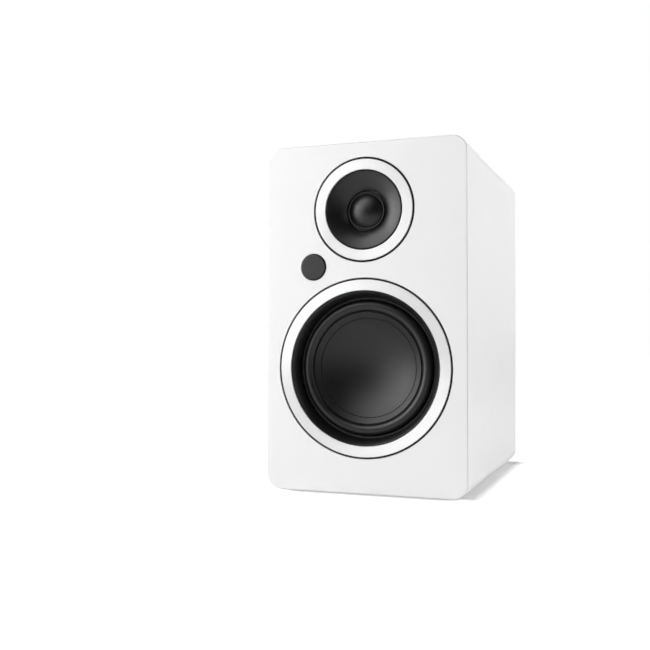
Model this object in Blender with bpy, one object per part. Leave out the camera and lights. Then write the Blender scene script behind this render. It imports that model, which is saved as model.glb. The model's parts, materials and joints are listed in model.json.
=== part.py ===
"""Two-way bookshelf speaker with its own amplifier.

The origin is under the middle of the speaker, on the surface it stands on.
The baffle faces -Y, +X is to the right of someone facing it, and +Z is up.
A "depth" is a distance behind the baffle's front face, towards +Y.
"""
from math import cos, pi, radians, sin, sqrt

import bmesh
import bpy
from mathutils import Matrix, Vector

MM = 0.001
GAP = 0.3 * MM                    # clearance between neighbouring pieces

# cabinet
CABINET_WIDTH = 175.0 * MM
CABINET_HEIGHT = 293.0 * MM
CABINET_DEPTH = 252.0 * MM
CABINET_CORNER_RADIUS = 12.8 * MM
WALL = 12.0 * MM
BAFFLE_THICKNESS = 18.0 * MM
EDGE_RADIUS = 1.2 * MM
REAR_LIP = 8.0 * MM               # wall left beside the rear panel
REAR_PANEL_FRONT = 237.0 * MM
REAR_PANEL_BACK = 249.0 * MM
FOOT_HEIGHT = 2.5 * MM
FOOT_RADIUS = 10.0 * MM
FOOT_INSET = 24.0 * MM

# drivers and front button
WOOFER_HEIGHT = 104.3 * MM        # above the cabinet's underside
TWEETER_HEIGHT = 236.4 * MM
BUTTON_X = -44.3 * MM
BUTTON_HEIGHT = 189.5 * MM
BUTTON_RADIUS = 10.3 * MM
BUTTON_PROUD = 0.8 * MM
REBATE_DEPTH = 6.0 * MM
FLANGE_FRONT = 1.6 * MM
FLANGE_BACK = 4.7 * MM
FLANGE_LIP = 0.2 * MM             # black line round each trim ring
RING_PROUD = 0.4 * MM

# port and amplifier plate
PORT_HEIGHT = 235.0 * MM
PORT_BORE_RADIUS = 20.0 * MM
PORT_FLARE = 8.0 * MM
PORT_FRONT = 140.0 * MM
AMP_HEIGHT = 102.5 * MM
AMP_PLATE = (120.0 * MM, 170.0 * MM)
AMP_CUTOUT = (104.0 * MM, 154.0 * MM)
AMP_BOX = (98.0 * MM, 148.0 * MM)
PLATE_FRONT = REAR_PANEL_BACK + GAP
PLATE_BACK = PLATE_FRONT + 2.2 * MM
TRIM_FRONT = PLATE_BACK + GAP
KNOB_PLACE = (34.0 * MM, 160.0 * MM)        # x, height above the cabinet's underside
RCA_PLACE = (-34.0 * MM, 148.0 * MM)
OPTICAL_PLACE = (0.0, 160.0 * MM)
POST_PLACES = {"red": (-14.0 * MM, 98.0 * MM), "black": (14.0 * MM, 98.0 * MM)}
ROCKER_PLACE = (34.0 * MM, 45.0 * MM)
INLET_PLACE = (-30.0 * MM, 45.0 * MM)
POST_END = 271.0 * MM             # depth of the studs' tips, the rearmost points
ROCKER_TILT = radians(8)

FACE_Y = (BUTTON_PROUD - POST_END) / 2
CENTRE_Z = FOOT_HEIGHT + CABINET_HEIGHT / 2

FACING_BACK = (radians(-90), 0.0, 0.0)      # turns a local +Z axis to +Y
UPRIGHT = (0.0, 0.0, 0.0)

# sides of the turned pieces
WOOFER_SIDES = 40
CONE_SIDES = 28
ROUND_SIDES = 32
HIDDEN_SIDES = 20
SMALL_SIDES = 14
SCREW_SIDES = 8


# ---------------------------------------------------------------- helpers

def place(x, depth, height):
    """World position from a depth and a height above the cabinet's underside."""
    return Vector((x, FACE_Y + depth, FOOT_HEIGHT + height))


def finish(name, colour, roughness, metallic=0.0):
    """Principled BSDF material, made once for each name."""
    found = bpy.data.materials.get(name)
    if found:
        return found
    made = bpy.data.materials.new(name)
    made.use_nodes = True
    shader = made.node_tree.nodes["Principled BSDF"]
    shader.inputs["Base Color"].default_value = (*colour, 1.0)
    shader.inputs["Roughness"].default_value = roughness
    shader.inputs["Metallic"].default_value = metallic
    made.diffuse_color = (*colour, 1.0)
    return made


def white_satin():
    return finish("white_satin", (0.88, 0.88, 0.88), 0.42)


def ring_metal():
    return finish("white_metal", (0.90, 0.90, 0.91), 0.30, 0.3)


def black_plastic():
    return finish("black_plastic", (0.02, 0.02, 0.02), 0.45)


def black_rubber():
    return finish("black_rubber", (0.025, 0.025, 0.025), 0.55)


def black_cone():
    return finish("black_cone", (0.03, 0.03, 0.03), 0.50)


def plated_steel():
    return finish("plated_steel", (0.62, 0.63, 0.65), 0.35, 1.0)


def ferrite():
    return finish("ferrite", (0.06, 0.06, 0.065), 0.70)


def brass():
    return finish("brass", (0.80, 0.62, 0.28), 0.30, 1.0)


def green_board():
    return finish("green_board", (0.03, 0.16, 0.07), 0.50)


def finish_mesh(name, bm, location, rotation, material, smooth_angle=35):
    """Turn a bmesh into a named object with outward faces and smooth rounds."""
    bmesh.ops.recalc_face_normals(bm, faces=bm.faces)
    mesh = bpy.data.meshes.new(name)
    bm.to_mesh(mesh)
    bm.free()
    mesh.shade_smooth()
    mesh.set_sharp_from_angle(angle=radians(smooth_angle))
    made = bpy.data.objects.new(name, mesh)
    bpy.context.scene.collection.objects.link(made)
    made.location = location
    made.rotation_euler = rotation
    if material:
        mesh.materials.append(material)
    return made


def turned(name, outline, location, material, sides=HIDDEN_SIDES, rotation=FACING_BACK):
    """Body of revolution. The outline is (radius, distance along the axis) in mm.

    An outline that starts and ends on the axis makes a solid, any other one a ring.
    """
    bm = bmesh.new()
    verts = [bm.verts.new((radius * MM, 0.0, along * MM)) for radius, along in outline]
    edges = [bm.edges.new(pair) for pair in zip(verts, verts[1:])]
    if outline[0][0] > 0 or outline[-1][0] > 0:
        edges.append(bm.edges.new((verts[-1], verts[0])))
    bmesh.ops.spin(bm, geom=verts + edges, cent=(0, 0, 0), axis=(0, 0, 1),
                   dvec=(0, 0, 0), angle=2 * pi, steps=sides, use_merge=True)
    bmesh.ops.remove_doubles(bm, verts=bm.verts, dist=1e-6)
    return finish_mesh(name, bm, location, rotation, material)


def oval(centre, radii, start, end, count):
    """Points on an ellipse in (radius, depth), from one angle to another, in degrees."""
    points = []
    for step in range(count):
        angle = radians(start + (end - start) * step / (count - 1))
        points.append((centre[0] + radii[0] * cos(angle), centre[1] + radii[1] * sin(angle)))
    return points


def bell(inner, bend, mouth, count):
    """Quadratic curve in (radius, depth) from a flare's inner end out to its mouth."""
    points = []
    for step in range(count):
        t = step / (count - 1)
        weights = ((1 - t) ** 2, 2 * t * (1 - t), t ** 2)
        points.append(tuple(sum(w * p[axis] for w, p in zip(weights, (inner, bend, mouth)))
                            for axis in (0, 1)))
    return points


def cap_depth(rim_radius, sag, radius):
    """How far a spherical cap lies from its rim plane at a radius, all in mm."""
    sphere = (rim_radius ** 2 + sag ** 2) / (2 * sag)
    return sag - (sphere - sqrt(sphere ** 2 - radius ** 2))


def rounded_loop(width, height, radius, depth, steps=5):
    """Rounded rectangle in the XZ plane, at a depth."""
    points = []
    corners = ((1, 1, 0), (-1, 1, 90), (-1, -1, 180), (1, -1, 270))
    for side_x, side_z, first in corners:
        centre_x = side_x * (width / 2 - radius)
        centre_z = side_z * (height / 2 - radius)
        for step in range(steps + 1):
            angle = radians(first + 90 * step / steps)
            points.append((centre_x + radius * cos(angle), depth, centre_z + radius * sin(angle)))
    return points


def ribbed_loop(radius, depth, count, rib=0.0):
    """Circle in the XZ plane whose every other point stands in by the rib's depth."""
    points = []
    for index in range(count):
        reach = radius - rib * (index % 2)
        angle = 2 * pi * index / count
        points.append((reach * cos(angle), depth, reach * sin(angle)))
    return points


def lofted(name, loops, location, material, ring=False):
    """Skin over loops with equal point counts: a capped body, or a closed ring."""
    bm = bmesh.new()
    rows = [[bm.verts.new(point) for point in loop] for loop in loops]
    pairs = list(zip(rows, rows[1:]))
    if ring:
        pairs.append((rows[-1], rows[0]))
    else:
        bm.faces.new(rows[0])
        bm.faces.new(rows[-1])
    count = len(rows[0])
    for row, following in pairs:
        for index in range(count):
            after = (index + 1) % count
            bm.faces.new((row[index], row[after], following[after], following[index]))
    return finish_mesh(name, bm, location, UPRIGHT, material)


def block(name, size, location, material, edge=0.0, rotation=UPRIGHT):
    """Box with optional chamfered edges, centred on its location."""
    bm = bmesh.new()
    bmesh.ops.create_cube(bm, size=1.0, matrix=Matrix.Diagonal((*size, 1.0)))
    if edge:
        bmesh.ops.bevel(bm, geom=bm.edges[:], offset=edge, segments=1, affect="EDGES")
    return finish_mesh(name, bm, location, rotation, material)


def guide(made):
    """Mark an object as a cutter or a union's second part."""
    made.hide_render = True
    made.display_type = "WIRE"
    return made


def combine(target, other, operation="DIFFERENCE"):
    """Boolean of two objects, kept as a modifier on the first."""
    modifier = target.modifiers.new(other.name, "BOOLEAN")
    modifier.operation = operation
    modifier.solver = "EXACT"
    modifier.object = guide(other)


def fixed_to(parent, *children):
    """Parent pieces to an empty without moving them."""
    bpy.context.view_layer.update()
    for child in children:
        child.parent = parent
        child.matrix_parent_inverse = parent.matrix_world.inverted()


def axis_empty(name, location):
    """Empty that marks a joint's axis."""
    made = bpy.data.objects.new(name, None)
    made.empty_display_size = 0.01
    bpy.context.scene.collection.objects.link(made)
    made.location = location
    return made


# ---------------------------------------------------------------- cabinet

def cabinet_loops(sections):
    """Loops of the cabinet's outline, from (inset, depth) pairs."""
    loops = []
    for inset, depth in sections:
        radius = max(CABINET_CORNER_RADIUS - inset, 0.5 * MM)
        loops.append(rounded_loop(CABINET_WIDTH - 2 * inset, CABINET_HEIGHT - 2 * inset,
                                  radius, depth))
    return loops


def edge_round(start, end, count):
    """(inset, depth) points round the front edge; 0 degrees is on the front face."""
    points = []
    for step in range(count):
        angle = radians(start + (end - start) * step / (count - 1))
        points.append((EDGE_RADIUS * (1 - sin(angle)), EDGE_RADIUS * (1 - cos(angle))))
    return points


def build_cabinet():
    centre = Vector((0.0, FACE_Y, CENTRE_Z))
    sleeve_sections = edge_round(45, 90, 3) + [
        (0.0, CABINET_DEPTH - EDGE_RADIUS),
        (EDGE_RADIUS, CABINET_DEPTH),
        (REAR_LIP, CABINET_DEPTH),
        (REAR_LIP, REAR_PANEL_FRONT - GAP),
        (WALL, REAR_PANEL_FRONT - GAP),
        (WALL, WALL),
    ]
    lofted("cabinet_sleeve", cabinet_loops(sleeve_sections), centre, white_satin(), ring=True)

    # the baffle's edge is mitred to the sleeve, so the joint runs along the front corner
    mitre_end = WALL + GAP
    baffle_sections = edge_round(0, 30.5, 3) + [
        (mitre_end, mitre_end - sqrt(2) * GAP),
        (mitre_end, BAFFLE_THICKNESS),
    ]
    baffle = lofted("front_baffle", cabinet_loops(baffle_sections), centre, white_satin())

    panel_inset = REAR_LIP + GAP
    panel_sections = [(panel_inset, REAR_PANEL_FRONT), (panel_inset, REAR_PANEL_BACK)]
    panel = lofted("rear_panel", cabinet_loops(panel_sections), centre,
                   finish("white_rear", (0.80, 0.80, 0.80), 0.50))

    foot_outline = [(0.0, 0.0), (9.2, 0.0), (FOOT_RADIUS / MM, 0.8),
                    (FOOT_RADIUS / MM, (FOOT_HEIGHT - GAP) / MM), (0.0, (FOOT_HEIGHT - GAP) / MM)]
    side = CABINET_WIDTH / 2 - FOOT_INSET
    corners = {
        "front_left": (-side, FOOT_INSET),
        "front_right": (side, FOOT_INSET),
        "rear_left": (-side, CABINET_DEPTH - FOOT_INSET),
        "rear_right": (side, CABINET_DEPTH - FOOT_INSET),
    }
    for corner, (x, depth) in corners.items():
        turned("foot_" + corner, foot_outline, Vector((x, FACE_Y + depth, 0.0)),
               black_rubber(), HIDDEN_SIDES, UPRIGHT)

    for side_name, side_sign in (("left", -1), ("right", 1)):
        pad_x = side_sign * (CABINET_WIDTH / 2 - WALL - GAP - 4 * MM)
        block("damping_pad_" + side_name, (8 * MM, 150 * MM, 200 * MM),
              Vector((pad_x, FACE_Y + 140 * MM, CENTRE_Z)),
              finish("wadding", (0.75, 0.75, 0.72), 0.95), 2.5 * MM)
    return baffle, panel


def build_grille_magnets(baffle):
    """Four magnets in blind pockets behind the baffle hold a slip-on grille."""
    magnet_x = 66.0 * MM
    heights = {"lower": 19.5 * MM, "upper": CABINET_HEIGHT - 19.5 * MM}
    for level, height in heights.items():
        for side_name, side_sign in (("left", -1), ("right", 1)):
            name = "grille_magnet_" + level + "_" + side_name
            spot = place(side_sign * magnet_x, 0.0, height)
            pocket = turned(name + "_pocket", [(0, 4.5), (5.3, 4.5), (5.3, 20), (0, 20)],
                            spot, None, SMALL_SIDES)
            combine(baffle, pocket)
            turned(name, [(0, 4.8), (5.0, 4.8), (5.0, 7.8), (0, 7.8)], spot,
                   plated_steel(), SMALL_SIDES)


def build_port(panel):
    spot = place(0.0, 0.0, PORT_HEIGHT)
    bore = PORT_BORE_RADIUS / MM
    flare = PORT_FLARE / MM
    mouth = PLATE_BACK / MM
    seat = PLATE_FRONT / MM
    outline = oval((bore + flare, mouth - flare), (flare, flare), 90, 180, 4)
    outline += [(bore, 145.0), (bore + 1.6, PORT_FRONT / MM), (bore + 3.0, PORT_FRONT / MM),
                (bore + 2.8, 236.0), (bore + 4.0, 240.0), (bore + 4.0, seat),
                (bore + flare + 2.0, seat), (bore + flare + 2.0, mouth - 0.8),
                (bore + flare + 1.2, mouth)]
    turned("port_tube", outline, spot, black_plastic())
    hole = turned("port_hole", [(0, 230), (bore + 4.3, 230), (bore + 4.3, 255), (0, 255)],
                  spot, None)
    combine(panel, hole)


# ---------------------------------------------------------------- woofer

CONE_RIM = 46.9                   # radii and depths in mm
CONE_LINE = 41.9
CONE_RIM_DEPTH = 8.8
CONE_LINE_DEPTH = 12.7
CONE_SAG = 13.0
CONE_THICKNESS = 1.0
ROLL_CENTRE = (52.3, 12.4)
ROLL_RADII = (5.0, 5.4)
ROLL_THICKNESS = 0.7
SCREW_CIRCLE = 71.1
SCREW_ANGLES = (45, 135, 225, 315)


def build_woofer_frame(baffle):
    spot = place(0.0, 0.0, WOOFER_HEIGHT)
    flange_front = FLANGE_FRONT / MM
    flange_back = FLANGE_BACK / MM
    lip = FLANGE_LIP / MM
    rebate = REBATE_DEPTH / MM
    hole = turned("woofer_hole", [(0, -2), (75.3, -2), (75.3, rebate), (67.8, rebate),
                                  (67.8, 22), (0, 22)], spot, None, WOOFER_SIDES)
    combine(baffle, hole)

    basket = turned("woofer_basket", [
        (74.1, lip), (75.0, lip), (75.0, flange_back), (67.2, flange_back), (67.2, 14.5),
        (62.0, 17.5), (49.0, 57.0), (49.0, 62.0), (19.0, 62.0), (19.0, 59.5), (45.0, 59.5),
        (45.0, 47.3), (50.2, 47.3), (59.0, 13.1), (65.2, 13.1), (65.2, flange_front),
        (74.1, flange_front),
    ], spot, finish("basket_paint", (0.03, 0.03, 0.03), 0.5, 0.2), WOOFER_SIDES)
    for index in range(3):
        window = block(f"basket_window_{index + 1}", (150 * MM, 21 * MM, 36 * MM),
                       spot + Vector((0, 32.5 * MM, 0)), None,
                       rotation=(0, radians(60 * index), 0))
        combine(basket, window)

    gasket = turned("woofer_gasket", [(68.3, 5.0), (74.8, 5.0), (74.8, 5.7), (68.3, 5.7)],
                    spot, black_rubber(), WOOFER_SIDES)
    top = -RING_PROUD / MM
    turned("woofer_trim_ring", [(64.9, top), (73.8, top), (73.8, 1.3), (64.9, 1.3)],
           spot, ring_metal(), WOOFER_SIDES)
    turned("woofer_bezel", [(59.4, 11.7)] + bell((59.4, 10.9), (61.0, 3.2), (64.3, 0.4), 5)
           + [(64.6, 0.6), (64.6, 11.7)],
           spot, black_plastic(), WOOFER_SIDES)

    for index, angle in enumerate(SCREW_ANGLES):
        offset = Vector((cos(radians(angle)), 0, sin(radians(angle)))) * SCREW_CIRCLE * MM
        name = f"woofer_screw_{index + 1}"
        turned(name, [(0, 2.0), (2.8, 2.0), (1.5, 3.4), (1.5, 15.0), (0, 15.8)],
               spot + offset, plated_steel(), SCREW_SIDES)
        for part in (basket, gasket, baffle):
            clearance = turned(f"{name}_hole_in_{part.name}", [
                (0, 1.0), (3.1, 1.0), (3.1, 2.1), (1.8, 3.6), (1.8, 16.3), (0, 16.3)],
                spot + offset, None, SCREW_SIDES)
            combine(part, clearance)


def dish(first_depth, count, rim=CONE_LINE, sag=CONE_SAG):
    """Points on the cone's dish from the axis out to its rim."""
    points = []
    for step in range(count):
        radius = rim * step / (count - 1)
        points.append((radius, first_depth + cap_depth(rim, sag, radius)))
    return points


def build_woofer_motor():
    spot = place(0.0, 0.0, WOOFER_HEIGHT)
    axis = axis_empty("woofer_axis", spot)

    front = dish(CONE_LINE_DEPTH, 5)
    back = dish(CONE_LINE_DEPTH + CONE_THICKNESS, 5)
    rim = [(CONE_RIM, CONE_RIM_DEPTH), (CONE_RIM, CONE_RIM_DEPTH + 1.1)]
    cone = turned("woofer_cone", front + rim + back[::-1], spot, black_cone(), CONE_SIDES)

    # the roll's inner foot is glued behind the cone's raised rim
    roll_front = oval(ROLL_CENTRE, ROLL_RADII, 202, 360, 6)
    inner = (ROLL_RADII[0] - ROLL_THICKNESS, ROLL_RADII[1] - ROLL_THICKNESS)
    roll_back = oval(ROLL_CENTRE, inner, 360, 206, 4)
    surround = turned("woofer_surround", [(43.7, 12.8), (47.3, 10.3)] + roll_front
                      + [(57.6, 12.0), (64.3, 12.0), (64.3, 12.8), (56.7, 12.8)]
                      + roll_back + [(47.5, 11.1), (43.7, 13.6)], spot, black_rubber(), CONE_SIDES)

    coil = turned("woofer_voice_coil", [(12.7, 26.0), (13.2, 26.0), (13.2, 58.8), (13.8, 58.8),
                                        (13.8, 70.8), (13.2, 70.8), (13.2, 75.0), (12.7, 75.0)],
                  spot, finish("copper", (0.72, 0.36, 0.20), 0.4, 1.0))

    wave = [(13.6, 46.2), (17.0, 46.2)]
    wave += [(17.0 + 4.6 * step, 46.2 + (-1.6 if step % 2 else 1.6)) for step in range(1, 6)]
    wave += [(44.6, 46.2), (49.6, 46.2)]
    spider = turned("woofer_spider", wave + [(r, d + 0.7) for r, d in wave[::-1]], spot,
                    finish("spider_cloth", (0.55, 0.40, 0.20), 0.9))

    turned("woofer_top_plate", [(14.4, 62.3), (42.0, 62.3), (42.0, 67.3), (14.4, 67.3)],
           spot, plated_steel())
    turned("woofer_magnet", [(18.0, 67.6), (44.0, 67.6), (45.0, 68.6), (45.0, 80.6),
                             (44.0, 81.6), (18.0, 81.6)], spot, ferrite())
    turned("woofer_yoke", [(3.5, 60.0), (12.1, 60.0), (12.1, 81.9), (42.0, 81.9),
                           (42.0, 87.5), (3.5, 87.5)], spot, plated_steel())
    fixed_to(axis, cone, coil)
    return surround, spider


# ---------------------------------------------------------------- tweeter

HORN_MOUTH = (33.0, 0.3)
HORN_THROAT = (17.3, 9.2)
HORN_BEND = (21.8, 4.2)
DOME_RADIUS = 13.4
DOME_RISE = 4.8
DOME_RIM_DEPTH = 9.8


def build_tweeter(baffle):
    spot = place(0.0, 0.0, TWEETER_HEIGHT)
    axis = axis_empty("tweeter_axis", spot)
    flange_front = FLANGE_FRONT / MM
    flange_back = FLANGE_BACK / MM
    lip = FLANGE_LIP / MM
    rebate = REBATE_DEPTH / MM
    hole = turned("tweeter_hole", [(0, -2), (43.9, -2), (43.9, rebate), (36.0, rebate),
                                   (36.0, 22), (0, 22)], spot, None, ROUND_SIDES)
    combine(baffle, hole)

    turned("tweeter_waveguide", bell(HORN_THROAT, HORN_BEND, HORN_MOUTH, 6) + [
        (33.2, 0.5), (33.2, flange_front), (42.6, flange_front), (42.6, lip), (43.6, lip),
        (43.6, flange_back), (35.4, flange_back), (35.4, 8.4), (31.0, 12.4), (17.3, 12.4),
    ], spot, black_plastic(), ROUND_SIDES)
    top = -RING_PROUD / MM
    turned("tweeter_trim_ring", [(33.7, top), (42.3, top), (42.3, 1.3), (33.7, 1.3)],
           spot, ring_metal(), ROUND_SIDES)
    turned("tweeter_mount_ring", [(14.9, 8.5), (15.8, 8.5), (15.8, 10.6), (16.9, 10.6),
                                  (16.9, 12.4), (14.9, 12.4)], spot, black_plastic())

    roll = oval((14.15, DOME_RIM_DEPTH), (0.55, 0.7), 180, 0, 5)
    roll_back = [(radius, depth + 0.4) for radius, depth in roll[::-1]]
    turned("tweeter_surround", roll + roll_back, spot, black_rubber())

    outer = []
    inner = []
    for step in range(5):
        radius = DOME_RADIUS * step / 4
        rise = cap_depth(DOME_RADIUS, DOME_RISE, radius)
        outer.append((radius, DOME_RIM_DEPTH - rise))
        inner.append((radius * 0.955, DOME_RIM_DEPTH - rise * 0.93))
    dome = turned("tweeter_dome", outer + inner[::-1], spot,
                  finish("dome_silk", (0.03, 0.03, 0.03), 0.5))
    coil = turned("tweeter_voice_coil", [(12.6, 11.2), (13.2, 11.2), (13.2, 16.0), (12.6, 16.0)],
                  spot, finish("copper", (0.72, 0.36, 0.20), 0.4, 1.0))
    fixed_to(axis, dome, coil)

    turned("tweeter_top_plate", [(13.7, 12.7), (30.0, 12.7), (30.0, 15.7), (13.7, 15.7)],
           spot, plated_steel())
    turned("tweeter_magnet", [(15.0, 16.0), (28.0, 16.0), (28.0, 24.0), (15.0, 24.0)],
           spot, ferrite())
    turned("tweeter_yoke", [(2.5, 12.7), (12.1, 12.7), (12.1, 24.3), (27.0, 24.3),
                            (27.0, 27.9), (2.5, 27.9)], spot, plated_steel())


# ---------------------------------------------------------------- front button

def build_button(baffle):
    """Smoked push button with its switch and the remote receiver's board behind it."""
    spot = place(BUTTON_X, 0.0, BUTTON_HEIGHT)
    radius = BUTTON_RADIUS / MM
    front = -BUTTON_PROUD / MM
    hole = turned("button_hole", [(0, -2), (11.45, -2), (11.45, 22), (0, 22)], spot, None)
    combine(baffle, hole)
    turned("button_housing", [(10.6, 0.3), (11.15, 0.3), (11.15, 17.6), (9.8, 17.6),
                              (9.8, 11.0), (3.0, 11.0), (3.0, 9.0), (10.6, 9.0)],
           spot, black_plastic())
    turned("front_button", [(0, front), (radius - 0.5, front), (radius, front + 0.5),
                            (radius, 2.4), (2.6, 2.4), (2.6, 13.0), (0, 13.0)],
           spot, finish("smoked_window", (0.06, 0.06, 0.06), 0.35))
    turned("button_return_dome", [(6.4, 8.7), (8.0, 8.7), (5.0, 2.7), (3.4, 2.7)],
           spot, black_rubber(), SMALL_SIDES)
    block("button_switch", (6 * MM, 3.6 * MM, 6 * MM), spot + Vector((0, 15.9 * MM, 0)),
          black_plastic(), 0.4 * MM)
    block("sensor_board", (30 * MM, 1.6 * MM, 24 * MM), spot + Vector((0, 19.1 * MM, 0)),
          green_board())


# ---------------------------------------------------------------- amplifier

def cut_plate(plate, name, spot, width, height, radius):
    """Rounded hole through the amplifier's plate."""
    loops = [rounded_loop(width, height, radius, depth, 4)
             for depth in (PLATE_FRONT - 2 * MM, PLATE_BACK + 2 * MM)]
    combine(plate, lofted(name, loops, spot, None))


def drill_plate(plate, name, spot, radius):
    """Round hole through the amplifier's plate, radius in mm."""
    hole = turned(name, [(0, 245), (radius, 245), (radius, 256), (0, 256)], spot, None, SMALL_SIDES)
    combine(plate, hole)


def socket_body(name, spot, material, body, cavity, flange, floors, radii, steps=4):
    """Panel socket: a body behind the plate, a flange on it and a cavity open to the back.

    body, cavity and flange are (width, height); floors is (body front, cavity floor,
    flange back); radii are the corner radii of the body, the cavity and the flange.
    """
    body_front, cavity_floor, flange_back = floors
    loops = [
        rounded_loop(*cavity, radii[1], cavity_floor, steps),
        rounded_loop(*cavity, radii[1], flange_back, steps),
        rounded_loop(*flange, radii[2], flange_back, steps),
        rounded_loop(*flange, radii[2], TRIM_FRONT, steps),
        rounded_loop(*body, radii[0], TRIM_FRONT, steps),
        rounded_loop(*body, radii[0], body_front, steps),
    ]
    return lofted(name, loops, spot, material)


def build_amplifier(panel):
    spot = place(0.0, 0.0, AMP_HEIGHT)
    cutout = lofted("amp_cutout", [rounded_loop(*AMP_CUTOUT, 6 * MM, depth, 3)
                                   for depth in (230 * MM, 255 * MM)], spot, None)
    combine(panel, cutout)
    plate = lofted("amp_plate", [rounded_loop(*AMP_PLATE, 5 * MM, depth, 4)
                                 for depth in (PLATE_FRONT, PLATE_BACK)], spot,
                   finish("plate_paint", (0.03, 0.03, 0.032), 0.5, 0.4))

    inner = (AMP_BOX[0] - 4 * MM, AMP_BOX[1] - 4 * MM)
    lofted("amp_enclosure", [
        rounded_loop(*inner, 2 * MM, 192 * MM, 3),
        rounded_loop(*inner, 2 * MM, REAR_PANEL_BACK, 3),
        rounded_loop(*AMP_BOX, 4 * MM, REAR_PANEL_BACK, 3),
        rounded_loop(*AMP_BOX, 4 * MM, 190 * MM, 3),
    ], spot, black_plastic())
    block("amp_board", (88 * MM, 1.6 * MM, 136 * MM), spot + Vector((0, 226.8 * MM, 0)),
          green_board())
    turned("power_transformer", [(9, 196), (22, 196), (25, 199), (25, 217), (22, 220), (9, 220)],
           spot + Vector((0, 0, -36 * MM)), finish("winding_tape", (0.55, 0.45, 0.12), 0.5))
    return plate


def build_volume(plate):
    x, height = KNOB_PLACE
    spot = place(x, 0.0, height)
    drill_plate(plate, "encoder_hole", spot, 3.8)
    turned("volume_encoder", [(2.4, 238.0), (8.0, 238.0), (8.0, 249.0), (3.4, 249.0),
                              (3.4, 253.6), (2.4, 253.6)], spot, plated_steel(), SMALL_SIDES)
    count = 2 * SMALL_SIDES
    rib = 0.5 * MM
    sections = [(2.1, 241.0, 0), (2.1, 255.2, 0), (4.5, 255.2, 0), (4.5, 252.2, 0),
                (10.0, 252.2, rib), (10.0, 264.4, rib), (9.0, 265.6, 0)]
    loops = [ribbed_loop(radius * MM, depth * MM, count, ribs)
             for radius, depth, ribs in sections]
    lofted("volume_knob", loops, spot, black_plastic())


def build_power_switch(plate):
    x, height = ROCKER_PLACE
    spot = place(x, 0.0, height)
    cut_plate(plate, "switch_hole", spot, 11.6 * MM, 17.6 * MM, 1 * MM)
    socket_body("power_switch_housing", spot, black_plastic(),
                body=(11 * MM, 17 * MM), cavity=(9.6 * MM, 15.8 * MM), flange=(14 * MM, 20 * MM),
                floors=(236 * MM, 243 * MM, 253 * MM), radii=(0.8 * MM, 0.3 * MM, 1.5 * MM),
                steps=2)
    # side view of the rocker about its pivot, as (outward, up), drawn level
    outline = [(4.2, -7.0), (3.0, 0.0), (4.2, 7.0), (-1.0, 7.0), (-4.0, 3.0),
               (-4.0, -3.0), (-1.0, -7.0)]
    loops = [[(across, outward * MM, up * MM) for outward, up in outline]
             for across in (-4.5 * MM, 4.5 * MM)]
    rocker = lofted("power_rocker", loops, spot + Vector((0, 250 * MM, 0)), black_plastic())
    rocker.rotation_euler = (-ROCKER_TILT, 0, 0)


def build_inlet(plate):
    """Two-pin mains inlet for a detachable lead."""
    x, height = INLET_PLACE
    spot = place(x, 0.0, height)
    cut_plate(plate, "inlet_hole", spot, 18.6 * MM, 12.6 * MM, 2 * MM)
    inlet = socket_body("mains_inlet", spot, black_plastic(),
                        body=(18 * MM, 12 * MM), cavity=(14.6 * MM, 8 * MM),
                        flange=(23 * MM, 17 * MM), floors=(235 * MM, 240 * MM, 253.2 * MM),
                        radii=(1.5 * MM, 3.9 * MM, 2.5 * MM))
    for side_name, side_sign in (("left", -1), ("right", 1)):
        pin = turned("inlet_pin_" + side_name, [(0, 238.5), (1.15, 238.5), (1.15, 248.2),
                                                (0.6, 249.2), (0, 249.2)],
                     spot + Vector((side_sign * 4.3 * MM, 0, 0)), None, SCREW_SIDES)
        combine(inlet, pin, "UNION")


def build_signal_inputs(plate):
    """Pair of phono sockets in one moulding, and a square optical socket."""
    x, height = RCA_PLACE
    spot = place(x, 0.0, height)
    sockets = block("rca_inputs", (13 * MM, 10.8 * MM, 32 * MM),
                    spot + Vector((0, 243.5 * MM, 0)), black_plastic(), 0.8 * MM)
    for level, offset in (("upper", 8 * MM), ("lower", -8 * MM)):
        centre = spot + Vector((0, 0, offset))
        drill_plate(plate, "rca_hole_" + level, centre, 4.5)
        barrel = turned("rca_barrel_" + level, [
            (0, 246), (4.1, 246), (4.1, 259), (3.4, 259), (3.4, 251), (2.7, 251),
            (2.7, 258), (1.3, 258), (1.3, 250), (0, 250)], centre, None, SMALL_SIDES)
        combine(sockets, barrel, "UNION")

    x, height = OPTICAL_PLACE
    spot = place(x, 0.0, height)
    cut_plate(plate, "optical_hole", spot, 10.6 * MM, 10.6 * MM, 0.8 * MM)
    socket_body("optical_input", spot, black_plastic(), body=(10 * MM, 10 * MM),
                cavity=(6.6 * MM, 6.6 * MM), flange=(13 * MM, 13 * MM),
                floors=(238 * MM, 244 * MM, 252.8 * MM), radii=(0.6 * MM, 0.5 * MM, 1.0 * MM),
                steps=2)


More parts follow.
